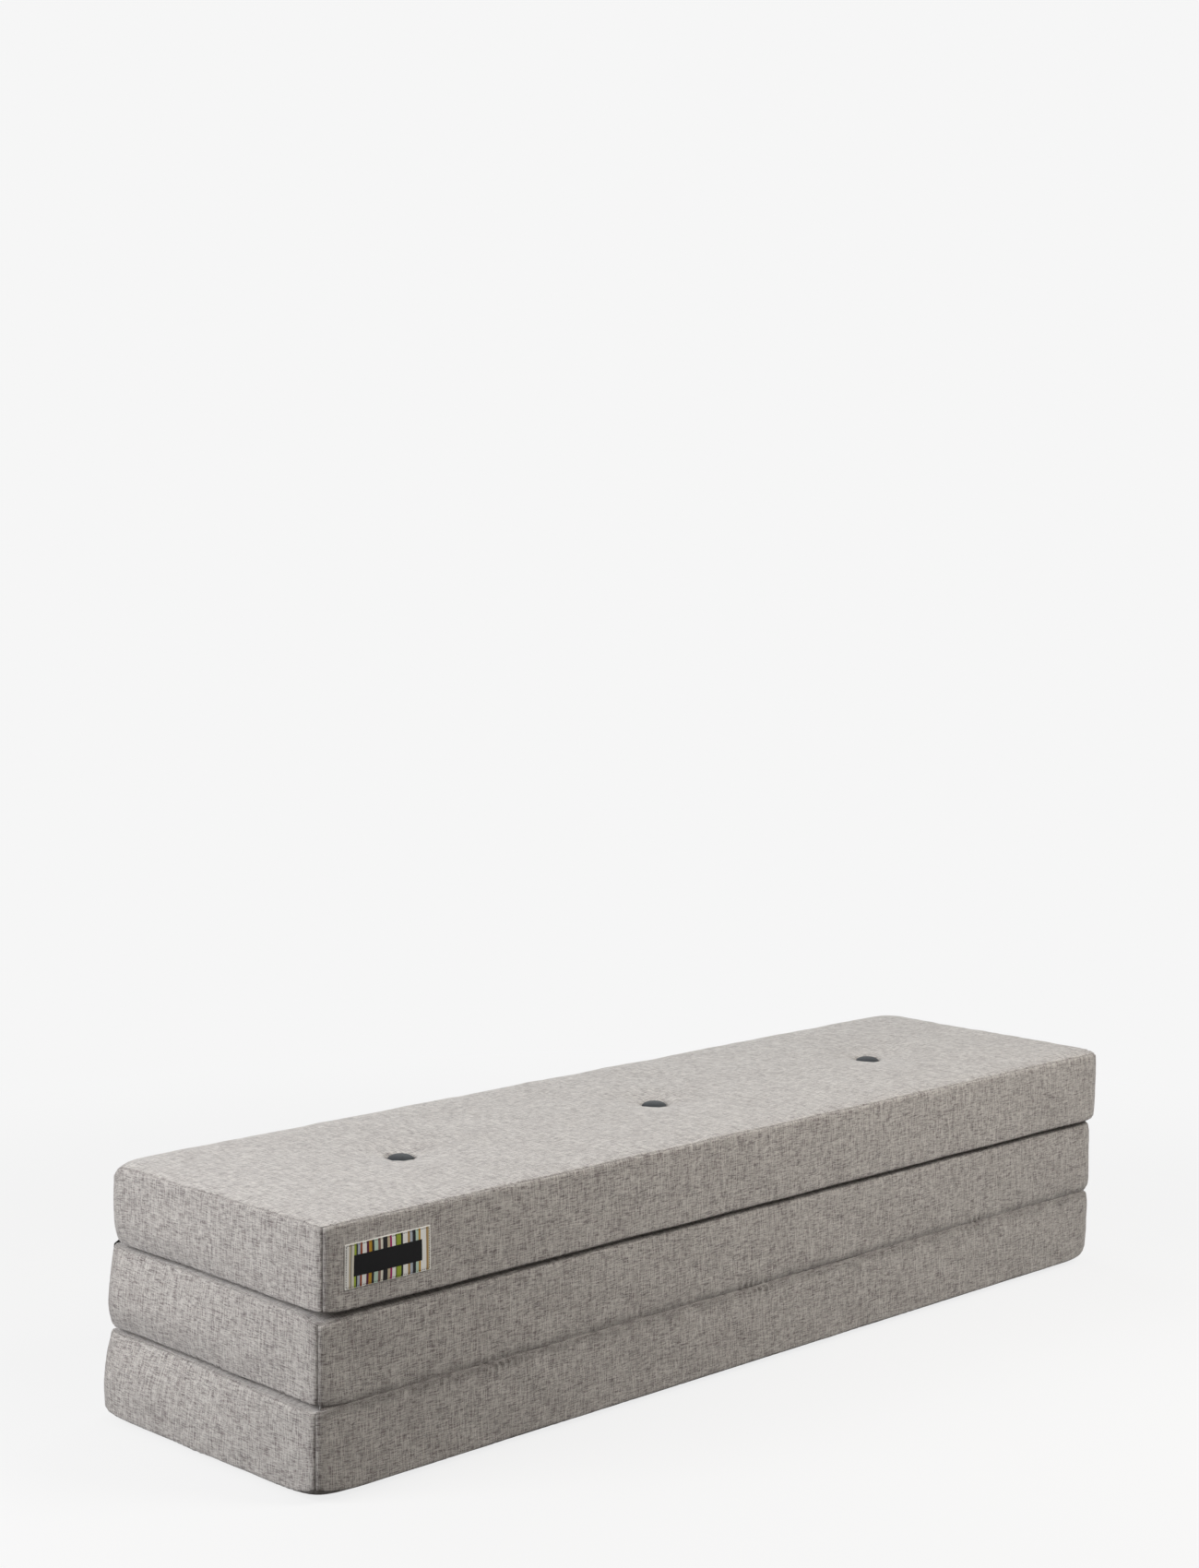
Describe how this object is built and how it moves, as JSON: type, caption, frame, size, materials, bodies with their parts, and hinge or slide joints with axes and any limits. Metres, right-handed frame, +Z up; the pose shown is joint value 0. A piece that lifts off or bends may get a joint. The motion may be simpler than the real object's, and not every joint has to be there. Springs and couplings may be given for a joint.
{
  "type": "folding mattress",
  "caption": "Three-part folding mattress in a woven cover with tufted buttons, folded in a Z into a low bench; its pads hinge open to a flat mattress.",
  "frame": {"origin": "on the floor, under the middle of the folded stack", "axes": "+X along the pads towards the end away from the label, +Y from the front, where the label is, to the back with the tape, +Z up"},
  "size_m": [1.4056, 0.4101, 0.3006],
  "materials": {
    "cover_face": "grey-brown melange linen-look weave",
    "cover_side": "grey-brown melange linen-look weave",
    "foam": "open-cell polyurethane foam block",
    "button_cloth": "plain blue-black cloth over a button shell",
    "twine": "waxed polyester tufting twine",
    "hinge_tape": "black woven tape",
    "label_ribbon": "cream ribbon woven with coloured stripes",
    "label_patch": "plain black woven patch"
  },
  "bodies": {
    "bottom_pad": {"foam_core_bottom": "foam", "top_panel_bottom": "cover_face", "bottom_panel_bottom": "cover_face", "front_band_bottom": "cover_side", "back_band_bottom": "cover_side", "left_band_bottom": "cover_side", "right_band_bottom": "cover_side", "button_bottom_upper_left": "button_cloth", "button_bottom_lower_left": "button_cloth", "tuft_twine_bottom_left": "twine", "button_bottom_upper_centre": "button_cloth", "button_bottom_lower_centre": "button_cloth", "tuft_twine_bottom_centre": "twine", "button_bottom_upper_right": "button_cloth", "button_bottom_lower_right": "button_cloth", "tuft_twine_bottom_right": "twine"},
    "middle_pad": {"foam_core_middle": "foam", "top_panel_middle": "cover_face", "bottom_panel_middle": "cover_face", "front_band_middle": "cover_side", "back_band_middle": "cover_side", "left_band_middle": "cover_side", "right_band_middle": "cover_side", "button_middle_upper_left": "button_cloth", "button_middle_lower_left": "button_cloth", "tuft_twine_middle_left": "twine", "button_middle_upper_centre": "button_cloth", "button_middle_lower_centre": "button_cloth", "tuft_twine_middle_centre": "twine", "button_middle_upper_right": "button_cloth", "button_middle_lower_right": "button_cloth", "tuft_twine_middle_right": "twine", "hinge_tape_lower": "hinge_tape"},
    "top_pad": {"foam_core_top": "foam", "top_panel_top": "cover_face", "bottom_panel_top": "cover_face", "front_band_top": "cover_side", "back_band_top": "cover_side", "left_band_top": "cover_side", "right_band_top": "cover_side", "button_top_upper_left": "button_cloth", "button_top_lower_left": "button_cloth", "tuft_twine_top_left": "twine", "button_top_upper_centre": "button_cloth", "button_top_lower_centre": "button_cloth", "tuft_twine_top_centre": "twine", "button_top_upper_right": "button_cloth", "button_top_lower_right": "button_cloth", "tuft_twine_top_right": "twine", "hinge_tape_upper": "hinge_tape", "label_ribbon": "label_ribbon", "label_patch": "label_patch"}
  },
  "joints": [
    {"name": "fold_front", "type": "hinge", "parent": "bottom_pad", "child": "middle_pad", "pos_m": [0, -0.19745, 0.10015], "axis": [1, 0, 0], "range_deg": [0, 180]},
    {"name": "fold_back", "type": "hinge", "parent": "middle_pad", "child": "top_pad", "pos_m": [0, 0.2002, 0.20045], "axis": [-1, 0, 0], "range_deg": [0, 180]}
  ]
}
